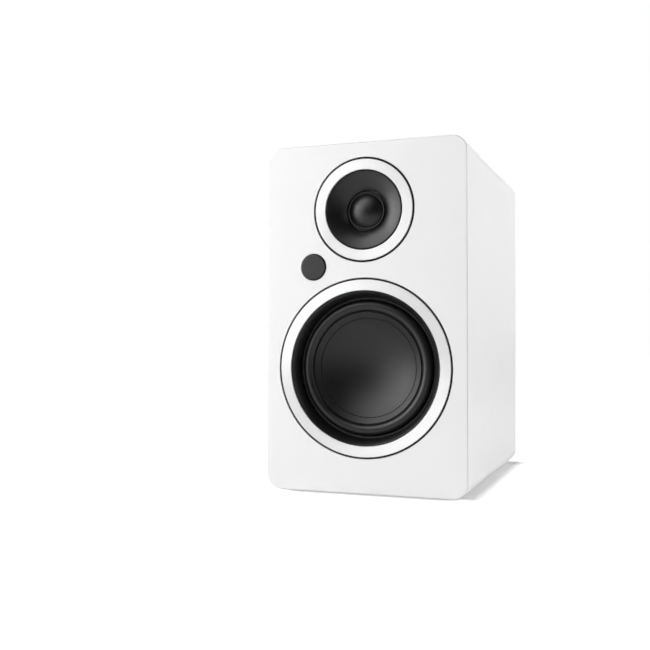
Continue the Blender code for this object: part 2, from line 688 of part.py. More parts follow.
def build_posts(plate):
    """Screw terminals that feed the passive speaker of the pair."""
    colours = {"red": (0.45, 0.02, 0.02), "black": (0.02, 0.02, 0.02)}
    end = POST_END / MM
    for colour, (x, height) in POST_PLACES.items():
        spot = place(x, 0.0, height)
        drill_plate(plate, f"post_hole_{colour}", spot, 4.4)
        turned(f"post_{colour}", [(0, 240), (4.0, 240), (4.0, 251.8), (7.0, 251.8), (7.0, 254.0),
                                  (2.0, 254.0), (2.0, end - 0.5), (1.5, end), (0, end)],
               spot, brass(), SMALL_SIDES)
        axis = axis_empty(f"post_axis_{colour}", spot)
        washer = turned(f"post_washer_{colour}", [(2.4, 254.3), (5.6, 254.3), (5.6, 255.1),
                                                  (2.4, 255.1)], spot, brass(), SMALL_SIDES)
        count = 24
        rib = 0.5 * MM
        sections = [(7.0, 255.4, rib), (7.0, 265.8, rib), (6.2, 266.8, 0), (2.4, 266.8, 0),
                    (2.4, 255.4, 0)]
        loops = [ribbed_loop(radius * MM, depth * MM, count, ribs)
                 for radius, depth, ribs in sections]
        nut = lofted(f"post_nut_{colour}", loops, spot,
                     finish(f"{colour}_plastic", colours[colour], 0.35), ring=True)
        fixed_to(axis, washer, nut)


# ---------------------------------------------------------------- assembly

def build_speaker():
    for old in list(bpy.data.objects):
        bpy.data.objects.remove(old)
    baffle, panel = build_cabinet()
    build_grille_magnets(baffle)
    build_port(panel)
    build_woofer_frame(baffle)
    build_woofer_motor()
    build_tweeter(baffle)
    build_button(baffle)
    plate = build_amplifier(panel)
    build_volume(plate)
    build_power_switch(plate)
    build_inlet(plate)
    build_signal_inputs(plate)
    build_posts(plate)


build_speaker()
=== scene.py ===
import json
from math import cos, pi, radians, sin, sqrt, tan

import bmesh
import bpy
from mathutils import Matrix, Vector
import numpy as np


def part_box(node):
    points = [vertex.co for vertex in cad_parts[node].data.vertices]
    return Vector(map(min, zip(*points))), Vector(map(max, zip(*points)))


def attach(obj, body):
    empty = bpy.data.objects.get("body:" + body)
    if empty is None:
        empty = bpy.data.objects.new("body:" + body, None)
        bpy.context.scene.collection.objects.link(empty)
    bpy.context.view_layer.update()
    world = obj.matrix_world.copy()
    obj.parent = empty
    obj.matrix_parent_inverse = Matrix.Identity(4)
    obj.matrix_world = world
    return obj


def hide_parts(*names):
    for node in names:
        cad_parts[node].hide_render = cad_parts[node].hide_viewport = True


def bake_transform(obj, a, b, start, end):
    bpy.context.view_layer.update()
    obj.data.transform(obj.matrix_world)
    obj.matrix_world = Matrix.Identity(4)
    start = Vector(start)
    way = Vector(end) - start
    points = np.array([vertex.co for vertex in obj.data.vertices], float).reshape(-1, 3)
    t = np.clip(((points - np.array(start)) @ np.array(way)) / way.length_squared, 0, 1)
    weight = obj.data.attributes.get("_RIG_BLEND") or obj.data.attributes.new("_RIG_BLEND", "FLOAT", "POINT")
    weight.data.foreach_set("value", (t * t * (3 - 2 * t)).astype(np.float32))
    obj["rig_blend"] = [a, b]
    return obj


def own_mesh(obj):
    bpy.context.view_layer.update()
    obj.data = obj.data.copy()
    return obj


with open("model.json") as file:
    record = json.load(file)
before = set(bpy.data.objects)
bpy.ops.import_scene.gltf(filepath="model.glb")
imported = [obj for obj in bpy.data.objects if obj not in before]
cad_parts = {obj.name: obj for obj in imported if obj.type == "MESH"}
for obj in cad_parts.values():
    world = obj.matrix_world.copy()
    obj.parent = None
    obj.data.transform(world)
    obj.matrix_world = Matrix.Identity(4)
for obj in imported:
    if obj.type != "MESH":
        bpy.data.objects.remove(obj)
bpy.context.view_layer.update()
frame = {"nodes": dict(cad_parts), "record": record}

MM = 0.001
BODY = "cabinet"

# ---------------------------------------------------------------- places from the frame

FACE_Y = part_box("front_baffle")[0].y


def axis_of(node):
    """Point where a round node's axis crosses the baffle's face plane."""
    low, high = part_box(node)
    return Vector(((low.x + high.x) / 2, FACE_Y, (low.z + high.z) / 2))


def depth_of(node, end):
    """Depth of a node's front (0) or back (1) behind the face plane, in mm."""
    return (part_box(node)[end].y - FACE_Y) / MM


def size_of(node):
    """Width, depth and height of a node, in metres."""
    low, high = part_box(node)
    return high - low


WOOFER = axis_of("woofer_trim_ring")
TWEETER = axis_of("tweeter_trim_ring")
BUTTON = axis_of("front_button")
PORT = axis_of("port_tube")
CABINET = axis_of("cabinet_sleeve")
WIDTH, DEPTH, HEIGHT = size_of("cabinet_sleeve")
CABINET_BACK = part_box("cabinet_sleeve")[1].y - FACE_Y
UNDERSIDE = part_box("cabinet_sleeve")[0].z

CORNER_RADIUS = 12.8 * MM
EDGE_RADIUS = 1.2 * MM
WALL = 12.0 * MM
REAR_LIP = 8.0 * MM
GAP = 0.3 * MM
PORT_NECK = 24.0                  # mm, radius of the port where it passes the rear panel
CUT_PAST = 2.0                    # mm that a cutter reaches beyond the face it cuts

ROUND = 192                       # sides of the large turned pieces
MIDDLE_ROUND = 128
SMALL_ROUND = 96
FINE_ROUND = 64
SCREW_ROUND = 48

FACING_BACK = (radians(-90), 0.0, 0.0)


# ---------------------------------------------------------------- mesh helpers

def smooth(made):
    """Smooth shading with crisp edges, and flats that stay flat beside small rounds."""
    crisp_from = radians(32)
    made.data.shade_smooth()
    made.data.set_sharp_from_angle(angle=crisp_from)
    weighted = made.modifiers.new("flat_faces", "WEIGHTED_NORMAL")
    weighted.keep_sharp = True


def add_piece(name, bm, location, rotation=(0, 0, 0)):
    """New object in the scene from a finished bmesh."""
    bmesh.ops.recalc_face_normals(bm, faces=bm.faces)
    mesh = bpy.data.meshes.new(name)
    bm.to_mesh(mesh)
    bm.free()
    made = bpy.data.objects.new(name, mesh)
    bpy.context.scene.collection.objects.link(made)
    made.location = location
    made.rotation_euler = rotation
    smooth(made)
    return made


def soften(outline, closed, steps=5):
    """Outline whose corners with a third value, a radius, are rounded."""
    points = []
    last = len(outline) - 1
    for index, corner in enumerate(outline):
        point = Vector(corner[:2])
        at_end = not closed and index in (0, last)
        if len(corner) < 3 or at_end:
            points.append(point)
            continue
        before = Vector(outline[index - 1][:2]) - point
        after = Vector(outline[(index + 1) % len(outline)][:2]) - point
        reach = corner[2] / tan(before.angle(after) / 2)
        reach = min(reach, 0.49 * before.length, 0.49 * after.length)
        start = point + before.normalized() * reach
        end = point + after.normalized() * reach
        for step in range(steps + 1):
            t = step / steps
            points.append(start * (1 - t) ** 2 + point * (2 * t * (1 - t)) + end * t ** 2)
    return points


def turned(name, outline, spot, sides=ROUND, rotation=FACING_BACK):
    """Body of revolution from (radius, depth[, corner radius]) in mm.

    An outline that starts and ends on the axis makes a solid, any other one a ring.
    """
    closed = outline[0][0] > 0 or outline[-1][0] > 0
    profile = soften(outline, closed)
    bm = bmesh.new()
    rows = []
    for radius, along in profile:
        if radius < 1e-6:
            rows.append([bm.verts.new((0.0, 0.0, along * MM))])
            continue
        rows.append([bm.verts.new((radius * MM * cos(2 * pi * k / sides),
                                   radius * MM * sin(2 * pi * k / sides), along * MM))
                     for k in range(sides)])
    pairs = list(zip(rows, rows[1:]))
    if closed:
        pairs.append((rows[-1], rows[0]))
    for row, following in pairs:
        for k in range(sides):
            after = (k + 1) % sides
            corners = [row[k % len(row)], row[after % len(row)],
                       following[after % len(following)], following[k % len(following)]]
            unique = list(dict.fromkeys(corners))
            if len(unique) > 2:
                bm.faces.new(unique)
    return add_piece(name, bm, spot, rotation)


def oval(centre, radii, start, end, count):
    """Points on an ellipse in (radius, depth), between two angles in degrees."""
    points = []
    for step in range(count):
        angle = radians(start + (end - start) * step / (count - 1))
        points.append((centre[0] + radii[0] * cos(angle), centre[1] + radii[1] * sin(angle)))
    return points


def bell(inner, bend, mouth, count):
    """Quadratic curve in (radius, depth) from a flare's inner end out to its mouth."""
    points = []
    for step in range(count):
        t = step / (count - 1)
        weights = ((1 - t) ** 2, 2 * t * (1 - t), t ** 2)
        points.append(tuple(sum(w * p[axis] for w, p in zip(weights, (inner, bend, mouth)))
                            for axis in (0, 1)))
    return points


def cap_depth(rim_radius, sag, radius):
    """How far a spherical cap lies from its rim plane at a radius, all in mm."""
    sphere = (rim_radius ** 2 + sag ** 2) / (2 * sag)
    return sag - (sphere - sqrt(sphere ** 2 - radius ** 2))


def rounded_loop(width, height, radius, depth, steps=16):
    """Rounded rectangle in the XZ plane, at a depth."""
    points = []
    corners = ((1, 1, 0), (-1, 1, 90), (-1, -1, 180), (1, -1, 270))
    for side_x, side_z, first in corners:
        centre_x = side_x * (width / 2 - radius)
        centre_z = side_z * (height / 2 - radius)
        for step in range(steps + 1):
            angle = radians(first + 90 * step / steps)
            points.append((centre_x + radius * cos(angle), depth, centre_z + radius * sin(angle)))
    return points


def lofted(name, loops, spot, ring=False):
    """Skin over loops with equal point counts: a capped body, or a closed ring."""
    bm = bmesh.new()
    rows = [[bm.verts.new(point) for point in loop] for loop in loops]
    pairs = list(zip(rows, rows[1:]))
    if ring:
        pairs.append((rows[-1], rows[0]))
    else:
        bm.faces.new(rows[0])
        bm.faces.new(rows[-1])
    for row, following in pairs:
        for index in range(len(row)):
            after = (index + 1) % len(row)
            bm.faces.new((row[index], row[after], following[after], following[index]))
    return add_piece(name, bm, spot)


def edge_round(start, end, count, radius=EDGE_RADIUS):
    """(inset, depth) points round an edge; 0 degrees is on the face, 90 on the side."""
    points = []
    for step in range(count):
        angle = radians(start + (end - start) * step / (count - 1))
        points.append((radius * (1 - sin(angle)), radius * (1 - cos(angle))))
    return points


def block(name, size, location, edge, segments=3, rotation=(0, 0, 0)):
    """Box with rounded edges, centred on its location."""
    bm = bmesh.new()
    bmesh.ops.create_cube(bm, size=1.0, matrix=Matrix.Diagonal((*size, 1.0)))
    bmesh.ops.bevel(bm, geom=bm.edges[:], offset=edge, segments=segments, profile=0.5,
                    affect="EDGES")
    return add_piece(name, bm, location, rotation)


def carve(target, cutters):
    """Cut pieces from a target and keep the plain result."""
    target.modifiers.clear()
    for cutter in cutters:
        modifier = target.modifiers.new("carve", "BOOLEAN")
        modifier.operation = "DIFFERENCE"
        modifier.solver = "EXACT"
        modifier.object = cutter
    graph = bpy.context.evaluated_depsgraph_get()
    mesh = bpy.data.meshes.new_from_object(target.evaluated_get(graph))
    target.modifiers.clear()
    target.data = mesh
    for cutter in cutters:
        bpy.data.objects.remove(cutter)
    smooth(target)


def round_cutter(spot, radius, front, back, sides):
    """Plain round cutter from one depth to another, in mm."""
    return turned("cutter", [(0, front), (radius, front), (radius, back), (0, back)], spot, sides)


def square_cutter(spot, width, height, corner, front, back, steps=16):
    """Cutter with rounded corners from one depth to another, in mm."""
    loops = [rounded_loop(width * MM, height * MM, corner * MM, depth * MM, steps)
             for depth in (front, back)]
    return lofted("cutter", loops, spot)


def chamfered_cutter(spot, hole, chamfer, steps, sides=ROUND):
    """Cutter from the face plane inwards, with a chamfer at the face and stepped behind it."""
    wide = hole + chamfer + CUT_PAST
    outline = [(0, -CUT_PAST), (wide, -CUT_PAST), (hole, chamfer), *steps, (0, steps[-1][1])]
    return turned("cutter", outline, spot, sides)


def fluted_loops(sections, count, flutes, sharpness=1):
    """Loops round a knob from (radius, depth, depth of its flutes) in mm."""
    loops = []
    for radius, depth, flute in sections:
        loop = []
        for k in range(count):
            angle = 2 * pi * k / count
            reach = radius - flute * (0.5 + 0.5 * cos(flutes * angle)) ** sharpness
            loop.append((reach * MM * cos(angle), depth * MM, reach * MM * sin(angle)))
        loops.append(loop)
    return loops


# ---------------------------------------------------------------- materials

class Finish:
    """Principled material that is built from object-space textures."""

    def __init__(self, name, colour, roughness, metallic=0.0):
        self.material = bpy.data.materials.new(name)
        self.material.use_nodes = True
        self.tree = self.material.node_tree
        self.shader = self.tree.nodes["Principled BSDF"]
        self.colour = colour
        self.set("Roughness", roughness)
        self.set("Metallic", metallic)
        self.set("Base Color", (*colour, 1.0))
        self.space = self.tree.nodes.new("ShaderNodeTexCoord").outputs["Object"]
        self.normal = None

    def set(self, socket, value):
        self.shader.inputs[socket].default_value = value

    def node(self, kind, **inputs):
        made = self.tree.nodes.new("ShaderNode" + kind)
        for key, value in inputs.items():
            self.feed(made.inputs[key.replace("_", " ")], value)
        return made

    def feed(self, socket, value):
        if isinstance(value, bpy.types.NodeSocket):
            self.tree.links.new(value, socket)
        else:
            socket.default_value = value

    def noise(self, scale, detail=3.0):
        made = self.node("TexNoise", Vector=self.space, Scale=scale, Detail=detail)
        return made.outputs["Fac"]

    def remap(self, value, low, high, first=0.3, last=0.7):
        """Spread values between first and last over low to high; noise keeps near the middle."""
        made = self.node("MapRange", Value=value)
        made.inputs["From Min"].default_value = first
        made.inputs["From Max"].default_value = last
        made.inputs["To Min"].default_value = low
        made.inputs["To Max"].default_value = high
        return made.outputs["Result"]

    def tint(self, fac, other):
        """Mix the base colour with another one."""
        made = self.tree.nodes.new("ShaderNodeMix")
        made.data_type = "RGBA"
        self.feed(made.inputs[0], fac)
        present = self.shader.inputs["Base Color"]
        if present.links:
            self.feed(made.inputs[6], present.links[0].from_socket)
        else:
            made.inputs[6].default_value = (*self.colour, 1.0)
        made.inputs[7].default_value = (*other, 1.0)
        self.feed(present, made.outputs[2])

    def mottle(self, scale, share):
        """Slow lightness changes over the surface."""
        darker = tuple(channel * (1 - share) for channel in self.colour)
        self.tint(self.remap(self.noise(scale), 0.0, 1.0), darker)

    def rough_spread(self, scale, low, high):
        """Roughness that wanders between two values."""
        self.feed(self.shader.inputs["Roughness"], self.remap(self.noise(scale), low, high))

    def bump(self, height, distance, strength):
        """Surface relief on top of any that the material has; the distance is in metres."""
        made = self.node("Bump", Height=height, Strength=strength, Distance=distance)
        if self.normal is not None:
            self.feed(made.inputs["Normal"], self.normal)
        self.normal = made.outputs["Normal"]
        self.feed(self.shader.inputs["Normal"], self.normal)

    def radius(self):
        """Distance from the object's own turning axis, its local Z, in metres."""
        flat = self.node("VectorMath", Vector=self.space)
        flat.operation = "MULTIPLY"
        flat.inputs[1].default_value = (1.0, 1.0, 0.0)
        length = self.tree.nodes.new("ShaderNodeVectorMath")
        length.operation = "LENGTH"
        self.feed(length.inputs[0], flat.outputs["Vector"])
        return length.outputs["Value"]

    def ring_noise(self, scale):
        """Noise that only changes with the distance from the turning axis."""
        made = self.node("TexNoise", Scale=scale, Detail=2.0)
        made.noise_dimensions = "1D"
        self.feed(made.inputs["W"], self.radius())
        return made.outputs["Fac"]


def white_lacquer():
    made = Finish("white_lacquer", (0.86, 0.86, 0.858), 0.40)
    made.mottle(9.0, 0.012)
    made.rough_spread(38.0, 0.36, 0.44)
    made.bump(made.noise(420.0, 2.0), 0.00002, 0.35)
    made.set("Specular IOR Level", 0.45)
    return made.material


def white_foil():
    made = Finish("white_foil", (0.78, 0.78, 0.775), 0.50)
    made.mottle(14.0, 0.02)
    made.rough_spread(60.0, 0.45, 0.56)
    made.bump(made.noise(900.0, 4.0), 0.00004, 0.5)
    return made.material


def turned_metal():
    """Bright ring whose circular tool marks spread reflections along the radius."""
    made = Finish("turned_white_metal", (0.93, 0.93, 0.932), 0.50, 0.40)
    made.mottle(30.0, 0.01)
    made.set("Anisotropic", 0.85)
    made.set("Anisotropic Rotation", 0.25)
    tangent = made.tree.nodes.new("ShaderNodeTangent")
    tangent.direction_type = "RADIAL"
    tangent.axis = "Z"
    made.feed(made.shader.inputs["Tangent"], tangent.outputs["Tangent"])
    made.bump(made.ring_noise(2600.0), 0.00002, 0.5)
    return made.material


def moulded_black():
    made = Finish("moulded_black", (0.005, 0.005, 0.005), 0.40)
    made.mottle(60.0, 0.25)
    made.rough_spread(240.0, 0.36, 0.46)
    made.bump(made.noise(1800.0, 3.0), 0.00003, 0.5)
    return made.material


def satin_horn():
    made = Finish("satin_horn", (0.004, 0.004, 0.004), 0.36)
    made.mottle(80.0, 0.2)
    made.rough_spread(300.0, 0.33, 0.39)
    made.bump(made.noise(2400.0, 2.0), 0.00002, 0.4)
    return made.material


def soft_rubber():
    made = Finish("soft_rubber", (0.0045, 0.0045, 0.0047), 0.39)
    made.mottle(50.0, 0.2)
    made.rough_spread(180.0, 0.36, 0.42)
    made.bump(made.noise(1300.0, 4.0), 0.00003, 0.35)
    return made.material


def cone_fibre():
    made = Finish("cone_fibre", (0.002, 0.002, 0.002), 0.44)
    made.mottle(45.0, 0.25)
    made.rough_spread(500.0, 0.41, 0.47)
    made.bump(made.noise(1500.0, 5.0), 0.00003, 0.4)
    made.bump(made.ring_noise(900.0), 0.00001, 0.4)
    return made.material


def dome_weave():
    made = Finish("dome_weave", (0.004, 0.004, 0.004), 0.35)
    made.mottle(120.0, 0.2)
    for direction in ("X", "Y"):
        threads = made.node("TexWave", Vector=made.space, Scale=900.0)
        threads.bands_direction = direction
        made.bump(threads.outputs["Fac"], 0.00003, 0.35)
    made.rough_spread(700.0, 0.32, 0.38)
    return made.material


def smoked_window():
    made = Finish("smoked_window", (0.036, 0.036, 0.036), 0.34)
    made.mottle(70.0, 0.06)
    made.rough_spread(160.0, 0.32, 0.38)
    made.bump(made.noise(1600.0, 2.0), 0.00001, 0.3)
    return made.material


def powder_coat():
    made = Finish("powder_coat", (0.022, 0.022, 0.023), 0.55)
    made.mottle(40.0, 0.2)
    made.rough_spread(400.0, 0.48, 0.62)
    made.bump(made.noise(1400.0, 3.0), 0.00012, 0.6)
    return made.material


def plated(name, colour, roughness):
    made = Finish(name, colour, roughness, 1.0)
    made.mottle(90.0, 0.06)
    made.rough_spread(260.0, roughness - 0.05, roughness + 0.08)
    made.bump(made.ring_noise(3000.0), 0.00002, 0.5)
    return made.material


def matt(name, colour, roughness, grain, height):
    made = Finish(name, colour, roughness)
    made.mottle(70.0, 0.18)
    made.rough_spread(220.0, roughness - 0.06, roughness + 0.06)
    made.bump(made.noise(grain, 4.0), height, 0.5)
    return made.material


def cloth(name, colour, pitch, height):
    made = Finish(name, colour, 0.9)
    made.mottle(60.0, 0.2)
    for direction in ("X", "Z"):
        threads = made.node("TexWave", Vector=made.space, Scale=pitch)
        threads.bands_direction = direction
        made.bump(threads.outputs["Fac"], height, 0.6)
    made.set("Sheen Weight", 0.3)
    made.set("Sheen Roughness", 0.5)
    return made.material


def copper_wire():
    made = Finish("copper_wire", (0.72, 0.34, 0.18), 0.35, 1.0)
    made.mottle(90.0, 0.15)
    turns = made.node("TexWave", Vector=made.space, Scale=1000.0)
    turns.bands_direction = "Z"
    made.bump(turns.outputs["Fac"], 0.0001, 0.8)
    return made.material


def board_mask():
    made = Finish("board_mask", (0.02, 0.13, 0.06), 0.40)
    tracks = made.node("TexBrick", Vector=made.space, Scale=160.0)
    made.tint(made.remap(tracks.outputs["Fac"], 0.0, 1.0, 0.0, 1.0), (0.04, 0.22, 0.09))
    made.bump(made.noise(600.0, 2.0), 0.00003, 0.4)
    return made.material


LOOKS = {
    "cabinet_white": white_lacquer(),
    "rear_white": white_foil(),
    "white_metal": turned_metal(),
    "black_plastic": moulded_black(),
    "horn": satin_horn(),
    "black_rubber": soft_rubber(),
    "cone_black": cone_fibre(),
    "dome_silk": dome_weave(),
    "smoked_window": smoked_window(),
    "plate_paint": powder_coat(),
    "basket_paint": matt("basket_paint", (0.004, 0.004, 0.004), 0.55, 1500.0, 0.00006),
    "steel": plated("zinc_plate", (0.62, 0.63, 0.65), 0.32),
    "brass": plated("gold_plate", (0.86, 0.64, 0.30), 0.22),
    "ferrite": matt("ferrite", (0.045, 0.045, 0.05), 0.70, 700.0, 0.0001),
    "copper": copper_wire(),
    "spider_cloth": cloth("spider_cloth", (0.48, 0.33, 0.14), 800.0, 0.0001),
    "wadding": cloth("wadding", (0.72, 0.72, 0.70), 240.0, 0.0006),
    "board": board_mask(),
    "winding_tape": matt("winding_tape", (0.50, 0.38, 0.08), 0.42, 500.0, 0.0001),
    "red_plastic": matt("red_plastic", (0.42, 0.012, 0.012), 0.26, 900.0, 0.00001),
    "post_black_plastic": matt("gloss_black", (0.012, 0.012, 0.012), 0.24, 900.0, 0.00001),
    "white_plastic": matt("white_plastic", (0.75, 0.75, 0.74), 0.35, 900.0, 0.00001),
    "rubber_foot": matt("rubber_foot", (0.018, 0.018, 0.018), 0.65, 900.0, 0.00008),
    "print_white": matt("print_white", (0.65, 0.65, 0.65), 0.55, 1200.0, 0.00001),
}


def dress(piece, look, body=BODY, stands_for=()):
    """Material of its slot, body and replaced nodes of a new piece."""
    piece.data.materials.clear()
    piece.data.materials.append(LOOKS[look])
    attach(piece, body)
    if stands_for:
        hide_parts(*stands_for)


# ---------------------------------------------------------------- cabinet

def cabinet_loops(sections):
    """Outlines of the cabinet from (inset, depth) in metres, with its rounded corners."""
    loops = []
    for inset, depth in sections:
        radius = max(CORNER_RADIUS - inset, 0.6 * MM)
        loops.append(rounded_loop(WIDTH - 2 * inset, HEIGHT - 2 * inset, radius, depth, 24))
    return loops


def build_sleeve():
    """Wrap of four sides, from the mitre at the front to the lip round the rear panel."""
    rear = edge_round(0, 90, 7)
    step = depth_of("rear_panel", 0) * MM - GAP
    sections = edge_round(45, 90, 5)
    sections += [(inset, CABINET_BACK - down) for inset, down in reversed(rear)]
    sections += [(REAR_LIP, CABINET_BACK), (REAR_LIP, step), (WALL, step), (WALL, WALL)]
    sleeve = lofted("sleeve_shell", cabinet_loops(sections), CABINET, ring=True)
    dress(sleeve, "cabinet_white", stands_for=["cabinet_sleeve"])


def build_baffle():
    """Mitred front board with rebated driver holes, the button's hole and magnet pockets."""
    thickness = size_of("front_baffle").y
    inner = WALL + GAP
    seam_edge = 36                                          # degrees; the sleeve starts at 45
    sections = edge_round(0, seam_edge, 5)
    sections += [(inner, inner - sqrt(2) * GAP), (inner, thickness)]
    baffle = lofted("baffle_board", cabinet_loops(sections), CABINET)
    inside = thickness / MM + CUT_PAST
    rebate = 6.0
    cutters = []
    for spot, seat, hole in ((WOOFER, 75.45, 67.8), (TWEETER, 44.05, 36.0)):
        steps = [(seat, rebate), (hole, rebate), (hole, inside)]
        cutters.append(chamfered_cutter(spot, seat, 0.1, steps))
    button_hole = 11.45
    cutters.append(chamfered_cutter(BUTTON, button_hole, 0.25, [(button_hole, inside)],
                                    SMALL_ROUND))
    pocket_radius, pocket_floor = 5.3, 4.5
    for node in frame["nodes"]:
        if node.startswith("grille_magnet"):
            cutters.append(round_cutter(axis_of(node), pocket_radius, pocket_floor, inside, 32))
    carve(baffle, cutters)
    dress(baffle, "cabinet_white", stands_for=["front_baffle"])


def build_rear_panel():
    """Rear board with the port's hole and the opening behind the amplifier's plate."""
    inset = REAR_LIP + GAP
    chamfer = 0.4 * MM
    front, back = (depth_of("rear_panel", end) for end in (0, 1))
    sections = [(inset, front * MM), (inset, back * MM - chamfer), (inset + chamfer, back * MM)]
    panel = lofted("rear_board", cabinet_loops(sections), CABINET)
    through = (front - CUT_PAST, back + CUT_PAST)
    port_hole = round_cutter(PORT, PORT_NECK + GAP / MM, *through, SMALL_ROUND)
    opening = square_cutter(axis_of("amp_plate"), 104, 154, 6, *through)
    carve(panel, [port_hole, opening])
    dress(panel, "rear_white", stands_for=["rear_panel"])


def build_feet():
    """Four round rubber feet, hollow underneath."""
    for corner in ("front_left", "front_right", "rear_left", "rear_right"):
        node = "foot_" + corner
        low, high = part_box(node)
        centre = Vector(((low.x + high.x) / 2, (low.y + high.y) / 2, 0.0))
        top = high.z / MM
        foot = turned("rubber_" + node, [(0, 0.35), (6.5, 0.35, 0.3), (7.0, 0.0, 0.2),
                                         (9.6, 0.0, 0.5), (10.0, 0.7, 0.3), (10.0, top, 0.1),
                                         (0, top)], centre, FINE_ROUND, (0, 0, 0))
        dress(foot, "rubber_foot", stands_for=[node])


def build_port():
    """Reflex tube with a wide rear flare, whose flange lies on the rear panel."""
    bore, wall, flare, entry = 20.0, 2.8, 8.0, (3.4, 4.0)
    front, mouth = (depth_of("port_tube", end) for end in (0, 1))
    panel_front, panel_back = (depth_of("rear_panel", end) for end in (0, 1))
    seat = panel_back + GAP / MM
    flange = bore + flare + 2.0
    outline = oval((bore + flare, mouth - flare), (flare, flare), 90, 180, 24)
    outline += [(bore, front + 7.0)]
    outline += oval((bore + entry[0], front + entry[1]), entry, 180, 250, 8)
    outline += [(bore + wall, front + 1.2, 0.4), (bore + wall, panel_front - 1.0),
                (PORT_NECK, panel_front + 3.0), (PORT_NECK, seat), (flange, seat),
                (flange, mouth, 0.9)]
    tube = turned("reflex_port", outline, PORT, MIDDLE_ROUND)
    dress(tube, "black_plastic", stands_for=["port_tube"])


# ---------------------------------------------------------------- woofer

CONE_LINE = 41.9                  # radii and depths in mm
CONE_RIM = 46.9
CONE_SAG = 13.0
CONE_FACE = 12.7                  # depth at the fine line
CONE_SKIN = 1.0
ROLL_INNER, ROLL_OUTER = 47.3, 57.3
SPIDER_INNER, SPIDER_OUTER = 17.0, 43.5
SPIDER_DEPTH = 46.2


def build_trim_ring(driver, spot, inner, outer, inner_edge):
    """Bright ring that stands slightly proud of the face."""
    ring = turned(driver + "_ring", [(inner, -0.4, inner_edge), (outer, -0.4, 0.3),
                                     (outer, 1.3, 0.2), (inner, 1.3, 0.2)], spot)
    dress(ring, "white_metal", stands_for=[driver + "_trim_ring"])


def build_bezel():
    """Black bell-shaped cove inside the woofer's ring."""
    cove = bell((59.4, 10.9), (61.0, 3.2), (64.3, 0.4), 26)
    bezel = turned("woofer_cove", [(59.4, 11.7)] + cove + [(64.6, 0.6, 0.15), (64.6, 11.7)],
                   WOOFER)
    dress(bezel, "black_plastic", stands_for=["woofer_bezel"])


def build_basket():
    """Cast frame: rim round the trim ring, six windows in its side and four screw seats."""
    basket = turned("woofer_frame", [
        (74.0, 0.3, 0.1), (75.15, 0.3, 0.1), (75.15, 4.7), (67.2, 4.7, 0.4), (67.2, 14.5, 1.0),
        (62.0, 17.5, 1.5), (49.0, 57.0, 2.0), (49.0, 62.0, 0.5), (19.0, 62.0), (19.0, 59.5, 0.4),
        (45.0, 59.5, 1.5), (45.0, 47.3, 0.4), (50.2, 47.3), (59.0, 13.1), (65.2, 13.1),
        (65.2, 1.6, 0.3), (74.0, 1.6)], WOOFER)
    cutters = []
    window = (150 * MM, 21 * MM, 36 * MM)           # each cutter opens two opposite windows
    middle = WOOFER + Vector((0, 32.5 * MM, 0))
    for index in range(3):
        cutters.append(block("cutter", window, middle, 5 * MM, 4, (0, radians(60 * index), 0)))
    for index in range(4):
        screw = axis_of(f"woofer_screw_{index + 1}")
        cutters.append(turned("cutter", [(0, 1.0), (3.1, 1.0), (3.1, 2.1), (1.8, 3.6),
                                         (1.8, 16.3), (0, 16.3)], screw, 24))
    carve(basket, cutters)
    dress(basket, "basket_paint", stands_for=["woofer_basket"])


def stretch_between(piece, inner, outer, moving):
    """Let a ring's inner edge follow a moving body; radii in mm."""
    spot = piece.location.copy()
    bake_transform(piece, BODY, moving, start=spot, end=spot + Vector((0, 0.01, 0)))
    weights = piece.data.attributes["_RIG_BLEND"].data
    for vertex, weight in zip(piece.data.vertices, weights):
        reach = sqrt((vertex.co.x - spot.x) ** 2 + (vertex.co.z - spot.z) ** 2) / MM
        t = min(max((outer - reach) / (outer - inner), 0.0), 1.0)
        weight.value = t * t * (3 - 2 * t)


def dress_blended(piece, look, moving, inner, outer, stands_for):
    """Material of its slot and replaced nodes of a ring that stretches between two bodies."""
    piece.data.materials.append(LOOKS[look])
    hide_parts(*stands_for)
    stretch_between(piece, inner, outer, moving)


def build_surround():
    """Rubber half-roll whose inner foot is glued behind the cone's raised rim."""
    centre = ((ROLL_INNER + ROLL_OUTER) / 2, 12.4)
    outline = [(43.7, 12.8), (47.3, 10.3)] + oval(centre, (5.0, 5.4), 202, 360, 26)
    outline += [(57.7, 12.0, 0.1), (64.3, 12.0), (64.3, 12.8), (56.9, 12.8)]
    outline += oval(centre, (4.3, 4.7), 360, 206, 26) + [(47.5, 11.1), (43.7, 13.6)]
    surround = turned("woofer_roll", outline, WOOFER)
    dress_blended(surround, "black_rubber", "woofer_cone", ROLL_INNER, ROLL_OUTER,
                  ["woofer_surround"])


def build_cone():
    """One-piece dished cone with a fine line just inside its rim."""
    front = []
    count = 28
    for step in range(count):
        radius = (CONE_LINE - 0.3) * step / (count - 1)
        front.append((radius, CONE_FACE + cap_depth(CONE_LINE, CONE_SAG, radius)))
    back = [(radius, depth + CONE_SKIN) for radius, depth in reversed(front)]
    line = [(CONE_LINE - 0.1, 13.1), (CONE_LINE + 0.1, 13.1), (CONE_LINE + 0.3, 12.55)]
    rim = [(CONE_RIM, 9.2, 0.3), (CONE_RIM, 10.3, 0.3)]
    cone = turned("woofer_dish", front + line + rim + back, WOOFER)
    dress(cone, "cone_black", "woofer_cone", stands_for=["woofer_cone"])


